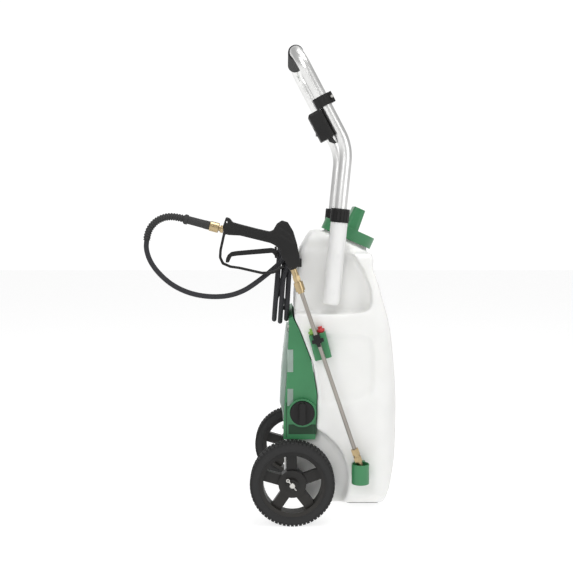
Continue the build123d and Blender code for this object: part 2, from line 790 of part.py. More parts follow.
with BuildPart() as hose_hook:
    with BuildSketch(side(COIL_CENTRE[1])):
        with BuildLine():
            Polyline([(-158.1, 576), (-154.4, 606), (-205, 604), (-206, 618), (-211, 618), (-210.5, 592),
                      (-172, 588)], close=True)
        make_face()
    extrude(amount=13, both=True)
write(hose_hook, "hose_hook")

# ---------------------------------------------------------------- high-pressure hose
def route_radii(points):
    """The largest tangent arc that fits each corner's two runs."""
    radii = []
    for before, here, after in zip(points, points[1:], points[2:]):
        turn = (here - before).get_angle(after - here)
        shorter = min((here - before).length, (after - here).length)
        radii.append(0.45 * shorter / tan(radians(turn / 2)))
    return radii


def hose_solid(points, radius):
    radii = route_radii(points)
    with BuildPart() as tube:
        with BuildLine() as path:
            FilletPolyline(*points, radius=radii)
        with BuildSketch(along(path.line @ 0, path.line % 0, (0, 1, 0.01))):
            Circle(radius)
        sweep(path=path.line)
    print("radii", [round(r) for r in radii], "length", round(path.wire().length),
          "volume ratio", round(tube.part.volume / (pi * radius**2 * path.wire().length), 3))
    return tube


FERRULE_START = INLET + inlet_way * 31
with BuildPart() as hose_ferrule:
    with BuildSketch(along(FERRULE_START, inlet_way)):
        Circle(9.5)
    extrude(amount=50)
    with BuildSketch(along(FERRULE_START + inlet_way * 50, inlet_way)):
        Circle(11)
    extrude(amount=8)
write(hose_ferrule, "hose_ferrule")

RESTRICTOR_START = FERRULE_START + inlet_way * 58
restrictor_route = [RESTRICTOR_START, RESTRICTOR_START + inlet_way * 18, Vector(-445, GUN_Y, 689),
                    Vector(-465, GUN_Y, 681), Vector(-480, GUN_Y, 666), Vector(-487, GUN_Y, 648),
                    Vector(-488, GUN_Y, 638)]
bend_restrictor = hose_solid(restrictor_route, 8.4)
write(bend_restrictor, "bend_restrictor")

hose_route = [Vector(-488, GUN_Y, 638), Vector(-490, GUN_Y, 618), Vector(-481, GUN_Y, 590), Vector(-461, GUN_Y, 563),
              Vector(-432, GUN_Y, 538), Vector(-393, GUN_Y, 520), Vector(-350, GUN_Y, 513), Vector(-310, -189, 515),
              Vector(-277, -186, 526), Vector(-251, -180, 543), Vector(-231, -172, 563), Vector(-216, -156, 583),
              Vector(-205, -135, 599), Vector(-199, -113, 611)]
hose_run = hose_solid(hose_route, HOSE_R)
write(hose_run, "hose_run")

coil_plane = Plane(origin=COIL_CENTRE, x_dir=(0, 1, 0), z_dir=(cos(radians(COIL_TILT)), 0, -sin(radians(COIL_TILT))))
with BuildPart() as hose_hank:
    with BuildSketch(coil_plane):
        Circle(COIL_MEAN_R + COIL_RADIAL / 2)
        Circle(COIL_MEAN_R - COIL_RADIAL / 2, mode=Mode.SUBTRACT)
    extrude(amount=COIL_AXIAL / 2, both=True)
    fillet(hose_hank.edges().filter_by(GeomType.CIRCLE), 8)
write(hose_hank, "hose_hank")

tail_route = [Vector(-196, 44, 537), Vector(-199, 56, 510), Vector(-196, 86, 486), Vector(-191, 120, 475),
              Vector(-186, 150, 466), Vector(-176, 174, 450), Vector(-163, 178, 428), Vector(-160, 178, 405)]
hose_tail = hose_solid(tail_route, HOSE_R)
write(hose_tail, "hose_tail")
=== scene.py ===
import json
from math import cos, pi, radians, sin, tan

import bmesh
import bpy
from bpy.props import FloatProperty, FloatVectorProperty, IntProperty, PointerProperty
from mathutils import Matrix, Vector


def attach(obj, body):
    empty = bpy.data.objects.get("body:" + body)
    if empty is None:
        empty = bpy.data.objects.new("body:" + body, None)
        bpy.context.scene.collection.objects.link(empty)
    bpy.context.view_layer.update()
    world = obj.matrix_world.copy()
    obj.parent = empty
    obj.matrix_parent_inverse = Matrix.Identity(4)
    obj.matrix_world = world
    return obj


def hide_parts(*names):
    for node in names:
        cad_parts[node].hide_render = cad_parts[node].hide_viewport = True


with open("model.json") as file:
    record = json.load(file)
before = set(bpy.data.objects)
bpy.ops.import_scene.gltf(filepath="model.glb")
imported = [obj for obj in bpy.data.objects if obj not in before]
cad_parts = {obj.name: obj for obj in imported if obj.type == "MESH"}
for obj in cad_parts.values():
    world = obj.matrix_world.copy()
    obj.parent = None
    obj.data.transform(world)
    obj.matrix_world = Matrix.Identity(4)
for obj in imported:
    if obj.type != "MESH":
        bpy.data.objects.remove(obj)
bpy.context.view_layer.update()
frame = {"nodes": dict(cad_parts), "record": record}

bl_info = {
    "name": "Wheeled Pressure Washer",
    "version": (1, 0, 0),
    "blender": (4, 5, 0),
    "location": "3D View > Sidebar > Washer",
    "description": "Dresses the washer's frame with moulded shells, tyres, hose and fittings",
    "category": "Add Mesh",
}

# ---------------------------------------------------------------- places taken from the frame
MM = 0.001
WHEEL_CENTRE = {"left": Vector((-0.170, -0.180, 0.095)), "right": Vector((-0.170, 0.180, 0.095))}
WHEEL_RADIUS, RIM_RADIUS, TYRE_HALF = 0.095, 0.074, 0.020
GUN_Y, GUN_HALF, VENTS = -0.190, 0.016, 6
INLET = Vector((-0.320, GUN_Y, 0.661))
INLET_WAY = Vector((-cos(radians(15)), 0, sin(radians(15))))
FERRULE_START = INLET + INLET_WAY * 0.031
RESTRICTOR_START = FERRULE_START + INLET_WAY * 0.058
LANCE_TOP = Vector((-0.150, GUN_Y, 0.522))
LANCE_WAY = (Vector((-0.032, GUN_Y, 0.174)) - LANCE_TOP).normalized()
CAP_CENTRE = Vector((-0.0425, 0, 0.6365))
CAP_AXIS = Vector((sin(radians(24)), 0, cos(radians(24))))
NECK_BORE = 0.050
COVER_HALF = 0.156
COIL_CENTRE = Vector((-0.191, -0.040, 0.545))
COIL_TILT = radians(4)


# ---------------------------------------------------------------- sizes and colours a user would change
class WasherSizes(bpy.types.PropertyGroup):
    shell_voxel: FloatProperty(
        name="Tank detail", description="Grid the tank's moulded skin is rebuilt on",
        default=0.0042, min=0.003, max=0.01, unit="LENGTH")
    gun_voxel: FloatProperty(
        name="Gun detail", description="Grid the gun's moulded body is rebuilt on",
        default=0.0013, min=0.001, max=0.004, unit="LENGTH")
    tread_lugs: IntProperty(
        name="Tread lugs", description="Lugs in each row round a tyre", default=64, min=20, max=90)
    hose_diameter: FloatProperty(
        name="Hose diameter", description="Outside diameter of the high-pressure hose",
        default=0.0112, min=0.006, max=0.02, unit="LENGTH")
    hose_length: FloatProperty(
        name="Hose length", description="Whole length of the hose, coil included",
        default=4.72, min=1, max=20, unit="LENGTH")


class WasherColours(bpy.types.PropertyGroup):
    tank: FloatVectorProperty(
        name="Tank", description="Natural polyethylene", default=(0.80, 0.80, 0.785), size=3, subtype="COLOR")
    green: FloatVectorProperty(
        name="Green parts", description="Cap, cover, cup and nozzle holder", default=(0.040, 0.210, 0.083),
        size=3, subtype="COLOR")
    black: FloatVectorProperty(
        name="Black parts", description="Gun, clamps and knobs", default=(0.0075, 0.0072, 0.007),
        size=3, subtype="COLOR")
    rubber: FloatVectorProperty(
        name="Rubber", description="Tyres, hose and grip", default=(0.0085, 0.0080, 0.0078), size=3, subtype="COLOR")
    brass: FloatVectorProperty(
        name="Brass", description="Hose and lance fittings", default=(0.50, 0.385, 0.22), size=3, subtype="COLOR")


# ---------------------------------------------------------------- shader groups
def grain_group():
    """Fine moulded grain with broad mottling: a height, and a roughness that varies about a middle value."""
    tree = bpy.data.node_groups.new("moulded_grain", "ShaderNodeTree")
    face = tree.interface
    face.new_socket("Scale", in_out="INPUT", socket_type="NodeSocketFloat").default_value = 900
    face.new_socket("Roughness", in_out="INPUT", socket_type="NodeSocketFloat").default_value = 0.5
    face.new_socket("Spread", in_out="INPUT", socket_type="NodeSocketFloat").default_value = 0.1
    face.new_socket("Height", in_out="OUTPUT", socket_type="NodeSocketFloat")
    face.new_socket("Roughness", in_out="OUTPUT", socket_type="NodeSocketFloat")
    face.new_socket("Mottle", in_out="OUTPUT", socket_type="NodeSocketFloat")
    nodes, links = tree.nodes, tree.links
    inlet, outlet = nodes.new("NodeGroupInput"), nodes.new("NodeGroupOutput")
    place = nodes.new("ShaderNodeTexCoord")
    fine, broad = nodes.new("ShaderNodeTexNoise"), nodes.new("ShaderNodeTexNoise")
    fine.inputs["Detail"].default_value = 3
    broad.inputs["Scale"].default_value = 14
    broad.inputs["Detail"].default_value = 5
    links.new(place.outputs["Object"], fine.inputs["Vector"])
    links.new(place.outputs["Object"], broad.inputs["Vector"])
    links.new(inlet.outputs["Scale"], fine.inputs["Scale"])
    centred = nodes.new("ShaderNodeMath")
    centred.operation = "SUBTRACT"
    centred.inputs[1].default_value = 0.5
    links.new(broad.outputs["Fac"], centred.inputs[0])
    spread = nodes.new("ShaderNodeMath")
    spread.operation = "MULTIPLY_ADD"
    links.new(centred.outputs[0], spread.inputs[0])
    links.new(inlet.outputs["Spread"], spread.inputs[1])
    links.new(inlet.outputs["Roughness"], spread.inputs[2])
    links.new(fine.outputs["Fac"], outlet.inputs["Height"])
    links.new(spread.outputs[0], outlet.inputs["Roughness"])
    links.new(broad.outputs["Fac"], outlet.inputs["Mottle"])
    return tree


def line_group():
    """Fine drawn or turned lines along one axis, with a slow unevenness."""
    tree = bpy.data.node_groups.new("drawn_lines", "ShaderNodeTree")
    face = tree.interface
    face.new_socket("Stretch", in_out="INPUT", socket_type="NodeSocketVector")
    face.new_socket("Roughness", in_out="INPUT", socket_type="NodeSocketFloat").default_value = 0.3
    face.new_socket("Spread", in_out="INPUT", socket_type="NodeSocketFloat").default_value = 0.15
    face.new_socket("Height", in_out="OUTPUT", socket_type="NodeSocketFloat")
    face.new_socket("Roughness", in_out="OUTPUT", socket_type="NodeSocketFloat")
    nodes, links = tree.nodes, tree.links
    inlet, outlet = nodes.new("NodeGroupInput"), nodes.new("NodeGroupOutput")
    place, scale = nodes.new("ShaderNodeTexCoord"), nodes.new("ShaderNodeVectorMath")
    scale.operation = "MULTIPLY"
    lines = nodes.new("ShaderNodeTexNoise")
    lines.inputs["Scale"].default_value = 1
    lines.inputs["Detail"].default_value = 4
    links.new(place.outputs["Object"], scale.inputs[0])
    links.new(inlet.outputs["Stretch"], scale.inputs[1])
    links.new(scale.outputs[0], lines.inputs["Vector"])
    vary = nodes.new("ShaderNodeMath")
    vary.operation = "MULTIPLY_ADD"
    links.new(lines.outputs["Fac"], vary.inputs[0])
    links.new(inlet.outputs["Spread"], vary.inputs[1])
    links.new(inlet.outputs["Roughness"], vary.inputs[2])
    links.new(lines.outputs["Fac"], outlet.inputs["Height"])
    links.new(vary.outputs[0], outlet.inputs["Roughness"])
    return tree


def shade_group():
    """Mixes a second tone into a colour by a mask, such as mottling or dust low on the object."""
    tree = bpy.data.node_groups.new("two_tones", "ShaderNodeTree")
    face = tree.interface
    face.new_socket("Mask", in_out="INPUT", socket_type="NodeSocketFloat")
    face.new_socket("Tone", in_out="INPUT", socket_type="NodeSocketColor")
    face.new_socket("Other tone", in_out="INPUT", socket_type="NodeSocketColor")
    face.new_socket("Low dust", in_out="INPUT", socket_type="NodeSocketFloat").default_value = 0.0
    face.new_socket("Colour", in_out="OUTPUT", socket_type="NodeSocketColor")
    nodes, links = tree.nodes, tree.links
    inlet, outlet = nodes.new("NodeGroupInput"), nodes.new("NodeGroupOutput")
    ramp = nodes.new("ShaderNodeMapRange")
    ramp.inputs["From Min"].default_value = 0.35
    ramp.inputs["From Max"].default_value = 0.68
    mix = nodes.new("ShaderNodeMix")
    mix.data_type = "RGBA"
    links.new(inlet.outputs["Mask"], ramp.inputs["Value"])
    links.new(ramp.outputs["Result"], mix.inputs["Factor"])
    links.new(inlet.outputs["Tone"], mix.inputs["A"])
    links.new(inlet.outputs["Other tone"], mix.inputs["B"])
    place, split = nodes.new("ShaderNodeTexCoord"), nodes.new("ShaderNodeSeparateXYZ")
    low = nodes.new("ShaderNodeMapRange")
    low.inputs["From Min"].default_value = 0.16
    low.inputs["From Max"].default_value = 0.0
    amount = nodes.new("ShaderNodeMath")
    amount.operation = "MULTIPLY"
    dust = nodes.new("ShaderNodeMix")
    dust.data_type = "RGBA"
    dust.inputs["B"].default_value = (0.32, 0.29, 0.24, 1)
    links.new(place.outputs["Object"], split.inputs[0])
    links.new(split.outputs["Z"], low.inputs["Value"])
    links.new(low.outputs["Result"], amount.inputs[0])
    links.new(inlet.outputs["Low dust"], amount.inputs[1])
    links.new(amount.outputs[0], dust.inputs["Factor"])
    links.new(mix.outputs["Result"], dust.inputs["A"])
    links.new(dust.outputs["Result"], outlet.inputs["Colour"])
    return tree


def tone(colour, factor):
    return tuple(min(1, c * factor) for c in colour)


def plain(name, colour, roughness, grain=900, depth=0.05, spread=0.12, contrast=0.12, dust=0.0, **sockets):
    """A moulded or cast material: grain, mottled roughness and two close tones."""
    material = bpy.data.materials.new(name)
    material.use_nodes = True
    nodes, links = material.node_tree.nodes, material.node_tree.links
    shader = nodes["Principled BSDF"]
    skin, tones = nodes.new("ShaderNodeGroup"), nodes.new("ShaderNodeGroup")
    skin.node_tree = bpy.data.node_groups["moulded_grain"]
    tones.node_tree = bpy.data.node_groups["two_tones"]
    skin.inputs["Scale"].default_value = grain
    skin.inputs["Roughness"].default_value = roughness
    skin.inputs["Spread"].default_value = spread
    tones.inputs["Tone"].default_value = (*tone(colour, 1 - contrast), 1)
    tones.inputs["Other tone"].default_value = (*tone(colour, 1 + contrast), 1)
    tones.inputs["Low dust"].default_value = dust
    bump = nodes.new("ShaderNodeBump")
    bump.inputs["Strength"].default_value = depth
    bump.inputs["Distance"].default_value = 0.001
    links.new(skin.outputs["Mottle"], tones.inputs["Mask"])
    links.new(tones.outputs["Colour"], shader.inputs["Base Color"])
    links.new(skin.outputs["Roughness"], shader.inputs["Roughness"])
    links.new(skin.outputs["Height"], bump.inputs["Height"])
    links.new(bump.outputs["Normal"], shader.inputs["Normal"])
    for socket, value in sockets.items():
        shader.inputs[socket.replace("_", " ")].default_value = value
    return material


def metal(name, colour, roughness, stretch, depth=0.03, spread=0.15):
    """A drawn or turned metal with lines across the stretched axes."""
    material = bpy.data.materials.new(name)
    material.use_nodes = True
    nodes, links = material.node_tree.nodes, material.node_tree.links
    shader = nodes["Principled BSDF"]
    shader.inputs["Metallic"].default_value = 1
    lines, skin, tones = (nodes.new("ShaderNodeGroup") for _ in range(3))
    lines.node_tree = bpy.data.node_groups["drawn_lines"]
    skin.node_tree = bpy.data.node_groups["moulded_grain"]
    tones.node_tree = bpy.data.node_groups["two_tones"]
    lines.inputs["Stretch"].default_value = stretch
    lines.inputs["Roughness"].default_value = roughness
    lines.inputs["Spread"].default_value = spread
    tones.inputs["Tone"].default_value = (*tone(colour, 0.92), 1)
    tones.inputs["Other tone"].default_value = (*tone(colour, 1.05), 1)
    bump = nodes.new("ShaderNodeBump")
    bump.inputs["Strength"].default_value = depth
    bump.inputs["Distance"].default_value = 0.0005
    links.new(skin.outputs["Mottle"], tones.inputs["Mask"])
    links.new(tones.outputs["Colour"], shader.inputs["Base Color"])
    links.new(lines.outputs["Roughness"], shader.inputs["Roughness"])
    links.new(lines.outputs["Height"], bump.inputs["Height"])
    links.new(bump.outputs["Normal"], shader.inputs["Normal"])
    return material


def make_materials(colours):
    grain_group(), line_group(), shade_group()
    black, green, rubber = colours.black, colours.green, colours.rubber
    return {
        "tank_plastic": plain("milky_polyethylene", colours.tank, 0.42, grain=260, depth=0.08, contrast=0.02,
                              Subsurface_Weight=0.25, Subsurface_Radius=(0.03, 0.03, 0.027), Subsurface_Scale=0.6),
        "green_plastic": plain("green_moulding", green, 0.38, grain=1100, depth=0.05, contrast=0.06),
        # Painted shade: the green darkened to 0.22 of itself, for the shadowed slot and strip on the pump cover.
        "painted_shade_green": plain("painted_shade_green_moulding", tone(green, 0.22), 0.6),
        "black_plastic": plain("black_moulding", black, 0.46, grain=1300, depth=0.12, contrast=0.15, Specular_IOR_Level=0.32),
        "wheel_plastic": plain("wheel_moulding", black, 0.42, grain=1000, depth=0.08, dust=0.06, Specular_IOR_Level=0.32),
        "tyre_rubber": plain("tyre_rubber", rubber, 0.62, grain=1500, depth=0.1, dust=0.1, Specular_IOR_Level=0.32),
        "black_rubber": plain("black_rubber", rubber, 0.6, grain=1500, depth=0.1, Specular_IOR_Level=0.32),
        "hose_rubber": plain("hose_rubber", rubber, 0.4, grain=2200, depth=0.08, Specular_IOR_Level=0.32),
        "grip_foam": plain("grip_foam", rubber, 0.85, grain=2600, depth=0.5, Specular_IOR_Level=0.32),
        "grey_plastic": plain("grey_moulding", (0.16, 0.16, 0.165), 0.4),
        "lime_plastic": plain("lime_moulding", (0.2, 0.42, 0.06), 0.35),
        "red_plastic": plain("red_moulding", (0.5, 0.02, 0.025), 0.35),
        "clear_plastic": plain("frosted_clear", (0.62, 0.72, 0.67), 0.38, grain=700, depth=0.2,
                               Transmission_Weight=0.55, IOR=1.49, Alpha=0.72),
        "cast_alloy": metal("cast_alloy", (0.5, 0.5, 0.51), 0.45, (500, 500, 500)),
        "aluminium": metal("anodised_tube", (0.88, 0.88, 0.87), 0.3, (240, 240, 5), depth=0.008, spread=0.06),
        "steel": metal("zinc_plate", (0.62, 0.61, 0.58), 0.3, (400, 40, 400)),
        "stainless": metal("drawn_stainless", (0.36, 0.335, 0.305), 0.25, (1200, 1200, 30)),
        "brass": metal("turned_brass", tuple(colours.brass), 0.22, (300, 300, 1500)),
    }


# ---------------------------------------------------------------- mesh helpers
def material_of(slot):
    return bpy.data.materials[MATERIAL_NAMES[slot]]


MATERIAL_NAMES = {
    "tank_plastic": "milky_polyethylene", "green_plastic": "green_moulding",
    "painted_shade_green": "painted_shade_green_moulding", "black_plastic": "black_moulding",
    "wheel_plastic": "wheel_moulding", "tyre_rubber": "tyre_rubber", "black_rubber": "black_rubber",
    "hose_rubber": "hose_rubber", "grip_foam": "grip_foam", "grey_plastic": "grey_moulding",
    "lime_plastic": "lime_moulding", "red_plastic": "red_moulding", "clear_plastic": "frosted_clear",
    "cast_alloy": "cast_alloy", "aluminium": "anodised_tube", "steel": "zinc_plate",
    "stainless": "drawn_stainless", "brass": "turned_brass",
}


# Small parts given another part's finish: the axle washers and the trigger pin are painted shade, black where they sit
# in shadow, and the sleeve screws take the tank's white.
SHADED = {"axle_washers": "wheel_plastic", "trigger_pin": "black_plastic", "sleeve_screws": "tank_plastic"}


def slot_of(node):
    return next(row["material_slot"] for row in frame["record"]["subparts"] if row["node"] == node)


def body_of(node):
    return next(body for body, nodes in frame["record"]["behaviour"]["bodies"].items() if node in nodes)


def node_mesh(node):
    """A merged copy of a CAD node's mesh, its flat faces whole again."""
    bm = bmesh.new()
    bm.from_mesh(frame["nodes"][node].data)
    bmesh.ops.remove_doubles(bm, verts=bm.verts, dist=2e-5)
    bmesh.ops.dissolve_limit(bm, angle_limit=radians(0.6), verts=bm.verts, edges=bm.edges)
    return bm


def place(bm, name, body, slot, nodes=(), sharp=38):
    """Turns a bmesh into a finished piece on a body."""
    for face in bm.faces:
        face.smooth = True
    for edge in bm.edges:
        if len(edge.link_faces) == 2 and edge.calc_face_angle(0) > radians(sharp):
            edge.smooth = False
    mesh = bpy.data.meshes.new(name)
    bm.to_mesh(mesh)
    bm.free()
    piece = bpy.data.objects.new(name, mesh)
    bpy.context.scene.collection.objects.link(piece)
    mesh.materials.append(material_of(slot))
    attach(piece, body)
    if nodes:
        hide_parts(*nodes)
    return piece


def rounded(node, width, segments=3, angle=32):
    """The CAD node with softened edges, as a moulding has them."""
    piece = place(node_mesh(node), f"{node}_moulding", body_of(node), slot_of(node), [node])
    bevel = piece.modifiers.new("edge", "BEVEL")
    bevel.width = width
    bevel.segments = segments
    bevel.limit_method = "ANGLE"
    bevel.angle_limit = radians(angle)
    bevel.use_clamp_overlap = True
    piece.modifiers.new("normals", "WEIGHTED_NORMAL").keep_sharp = True
    return piece


def outer_skin(bm):
    """Cuts the skin free at the filler neck's bore, keeps the outer part and closes it."""
    def in_bore(vert):
        offset = vert.co - CAP_CENTRE
        return (offset - CAP_AXIS * offset.dot(CAP_AXIS)).length < NECK_BORE + 0.0004

    bore = [face for face in bm.faces if all(in_bore(vert) for vert in face.verts)]
    bmesh.ops.delete(bm, geom=bore, context="FACES")
    seed = max(bm.verts, key=lambda vert: vert.co.x)
    outer, frontier = {seed}, [seed]
    while frontier:
        for edge in frontier.pop().link_edges:
            for vert in edge.verts:
                if vert not in outer:
                    outer.add(vert)
                    frontier.append(vert)
    bmesh.ops.delete(bm, geom=[vert for vert in bm.verts if vert not in outer], context="VERTS")
    bmesh.ops.holes_fill(bm, edges=[e for e in bm.edges if e.is_boundary], sides=0)


def remeshed(bm, voxel, passes):
    """A closed mesh rebuilt on an even grid and smoothed, so that every edge is round."""
    mesh = bpy.data.meshes.new("grid")
    bmesh.ops.triangulate(bm, faces=bm.faces)
    bm.to_mesh(mesh)
    bm.free()
    rough = bpy.data.objects.new("grid", mesh)
    bpy.context.scene.collection.objects.link(rough)
    grid = rough.modifiers.new("grid", "REMESH")
    grid.mode = "VOXEL"
    grid.voxel_size = voxel
    bpy.context.view_layer.update()
    result = bpy.data.meshes.new_from_object(rough.evaluated_get(bpy.context.evaluated_depsgraph_get()))
    bpy.data.objects.remove(rough)
    bpy.data.meshes.remove(mesh)
    soft = bmesh.new()
    soft.from_mesh(result)
    bpy.data.meshes.remove(result)
    for _ in range(passes):
        bmesh.ops.smooth_vert(soft, verts=soft.verts, factor=0.5, use_axis_x=True, use_axis_y=True, use_axis_z=True)
    return soft


def frame_at(point, way):
    """A matrix that puts a flat ring at a point, facing that way."""
    return Matrix.Translation(point) @ way.to_track_quat("Z", "Y").to_matrix().to_4x4()


def turned(bm, start, way, profile, sides=32):
    """Rings along an axis, bridged and capped. The profile is pairs of distance and radius."""
    rings = []
    for distance, radius in profile:
        ring = bmesh.ops.create_circle(bm, segments=sides, radius=radius, matrix=frame_at(start + way * distance, way))
        rings.append(ring["verts"])
    join_rings(bm, rings)


def join_rings(bm, rings, closed=False):
    for first, second in zip(rings, rings[1:] + ([rings[0]] if closed else [])):
        edges = ring_edges(first) + ring_edges(second)
        bmesh.ops.bridge_loops(bm, edges=edges)
    if not closed:
        for ring in (rings[0], rings[-1]):
            bmesh.ops.contextual_create(bm, geom=ring_edges(ring))
    bmesh.ops.recalc_face_normals(bm, faces=bm.faces)


def ring_edges(verts):
    chosen = set(verts)
    return list({e for v in verts for e in v.link_edges if e.other_vert(v) in chosen})


def block(bm, centre, size, turn=None):
    matrix = Matrix.Translation(centre) @ (turn or Matrix()) @ Matrix.Diagonal((*size, 1))
    return bmesh.ops.create_cube(bm, size=1, matrix=matrix)["verts"]


# ---------------------------------------------------------------- hose route
RESTRICTOR_ROUTE = [
    RESTRICTOR_START, RESTRICTOR_START + INLET_WAY * 0.018, Vector((-0.445, GUN_Y, 0.689)),
    Vector((-0.465, GUN_Y, 0.681)), Vector((-0.480, GUN_Y, 0.666)), Vector((-0.487, GUN_Y, 0.648)),
    Vector((-0.488, GUN_Y, 0.638)),
]
HOSE_ROUTE = [
    Vector((-0.490, GUN_Y, 0.618)), Vector((-0.481, GUN_Y, 0.590)), Vector((-0.461, GUN_Y, 0.563)),
    Vector((-0.432, GUN_Y, 0.538)), Vector((-0.393, GUN_Y, 0.520)), Vector((-0.350, GUN_Y, 0.513)),
    Vector((-0.310, -0.189, 0.515)), Vector((-0.277, -0.186, 0.526)), Vector((-0.251, -0.180, 0.543)),
    Vector((-0.231, -0.172, 0.558)), Vector((-0.212, -0.158, 0.573)), Vector((-0.194, -0.139, 0.589)),
    Vector((-0.1865, -0.116, 0.604)),
]
TAIL_ROUTE = [
    Vector((-0.203, 0.0605, 0.564)), Vector((-0.204, 0.075, 0.535)), Vector((-0.201, 0.090, 0.509)),
    Vector((-0.196, 0.104, 0.488)), Vector((-0.191, 0.126, 0.475)),
    Vector((-0.186, 0.150, 0.466)), Vector((-0.176, 0.174, 0.450)), Vector((-0.163, 0.178, 0.428)),
    Vector((-0.160, 0.178, 0.416)), Vector((-0.160, 0.178, 0.405)),
]
# Each turn's place across the coil, its radius and how far it hangs below the others.
COIL_TURNS = [
    (0.0, 0.0930, 0.010), (0.0118, 0.0930, 0.003), (0.0118, 0.0815, 0.001), (0.0118, 0.0700, -0.001),
    (0.0, 0.0700, 0.001), (0.0, 0.0815, 0.005), (-0.0118, 0.0815, 0.003), (-0.0118, 0.0930, 0.006),
]
COIL_FIRST, COIL_START, COIL_END = radians(140), radians(128), radians(34) - 2 * pi * 7
TURN_POINTS, SHIFT_SPAN = 24, 0.1


def coil_place(turn):
    """The strand's place at a count of turns. Each shift comes a little earlier in its turn than the one before,
    so that the next place is always free."""
    k = min(int(turn), len(COIL_TURNS) - 1)
    following = min(k + 1, len(COIL_TURNS) - 1)
    begins = 1 - (k + 1) * SHIFT_SPAN
    share = min(1, max(0, (turn - k - begins) / SHIFT_SPAN))
    share = share * share * (3 - 2 * share)
    return (a + (b - a) * share for a, b in zip(COIL_TURNS[k], COIL_TURNS[following]))


def coil_points():
    """The hose's turns, hung on the hook: even at the top, fanned out at the bottom."""
    up = Vector((sin(COIL_TILT), 0, cos(COIL_TILT)))
    across = Vector((cos(COIL_TILT), 0, -sin(COIL_TILT)))
    count = round((COIL_START - COIL_END) / (2 * pi) * TURN_POINTS)
    points = []
    for i in range(count + 1):
        angle = COIL_START + (COIL_END - COIL_START) * i / count
        offset, radius, drop = coil_place((COIL_FIRST - angle) / (2 * pi))
        low = (1 - sin(angle)) / 2
        reach = radius / cos(pi / TURN_POINTS)
        points.append(
            COIL_CENTRE + Vector((0, 1, 0)) * reach * cos(angle) + up * (reach * sin(angle) - drop * low)
            + across * offset * (1 + 0.2 * low)
        )
    return points


def smooth_curve(name, points):
    curve = bpy.data.curves.new(name, "CURVE")
    curve.dimensions = "3D"
    spline = curve.splines.new("NURBS")
    spline.points.add(len(points) - 1)
    for control, point in zip(spline.points, points):
        control.co = (*point, 1)
    spline.order_u = 3
    spline.use_endpoint_u = True
    spline.resolution_u = 6
    return curve


def read_route(curve):
    """Points along a curve that has no bevel."""
    probe = bpy.data.objects.new("probe", curve)
    bpy.context.scene.collection.objects.link(probe)
    bpy.context.view_layer.update()
    mesh = bpy.data.meshes.new_from_object(probe.evaluated_get(bpy.context.evaluated_depsgraph_get()))
    points = [v.co.copy() for v in mesh.vertices]
    bpy.data.objects.remove(probe)
    bpy.data.meshes.remove(mesh)
    return points


# ---------------------------------------------------------------- operators
class WASHER_OT_stage(bpy.types.Operator):
    """Adds the pale floor, the soft lights and the camera"""
    bl_idname = "washer.stage"
    bl_label = "Stage"

    def execute(self, context):
        bm = bmesh.new()
        bmesh.ops.create_grid(bm, x_segments=1, y_segments=1, size=9)
        mesh = bpy.data.meshes.new("floor")
        bm.to_mesh(mesh)
        bm.free()
        floor = bpy.data.objects.new("floor", mesh)
        context.scene.collection.objects.link(floor)
        paint = bpy.data.materials.new("floor_paint")
        paint.use_nodes = True
        shader = paint.node_tree.nodes["Principled BSDF"]
        shader.inputs["Base Color"].default_value = (0.4, 0.4, 0.4, 1)
        shader.inputs["Roughness"].default_value = 0.9
        shader.inputs["Emission Color"].default_value = (1, 1, 1, 1)
        shader.inputs["Emission Strength"].default_value = 0.74
        mesh.materials.append(paint)
        world = bpy.data.worlds.new("studio")
        world.use_nodes = True
        nodes, links = world.node_tree.nodes, world.node_tree.links
        way, aim, fade = (nodes.new(f"ShaderNode{kind}") for kind in ("TexCoord", "VectorMath", "MapRange"))
        aim.operation = "DOT_PRODUCT"
        aim.inputs[1].default_value = (0, 1, 0)
        fade.inputs["From Min"].default_value = 0.80
        fade.inputs["From Max"].default_value = 0.93
        fade.inputs["To Min"].default_value = 0.45
        fade.inputs["To Max"].default_value = 1.05
        links.new(way.outputs["Generated"], aim.inputs[0])
        links.new(aim.outputs["Value"], fade.inputs["Value"])
        links.new(fade.outputs["Result"], nodes["Background"].inputs["Strength"])
        nodes["Background"].inputs["Color"].default_value = (1, 1, 1, 1)
        context.scene.world = world
        for name, spot, size, power in (
            ("key", (-1.5, -2.8, 2.3), 1.8, 38), ("fill", (2.2, -2.4, 1.3), 1.8, 20), ("top", (0.2, -0.3, 3.2), 1.6, 40),
        ):
            light = bpy.data.lights.new(name, "AREA")
            light.size = size
            light.energy = power
            lamp = bpy.data.objects.new(name, light)
            lamp.location = spot
            lamp.rotation_euler = (Vector((-0.1, 0, 0.5)) - Vector(spot)).to_track_quat("-Z", "Y").to_euler()
            context.scene.collection.objects.link(lamp)
        eye = bpy.data.cameras.new("camera")
        eye.sensor_width = 36
        eye.lens = 58.37
        camera = bpy.data.objects.new("camera", eye)
        camera.location = (-0.183, -2.219, 0.699)
        camera.rotation_euler = (radians(90 - 4.585), 0, 0)
        context.scene.collection.objects.link(camera)
        context.scene.camera = camera
        context.scene.view_settings.view_transform = "Standard"
        return {"FINISHED"}


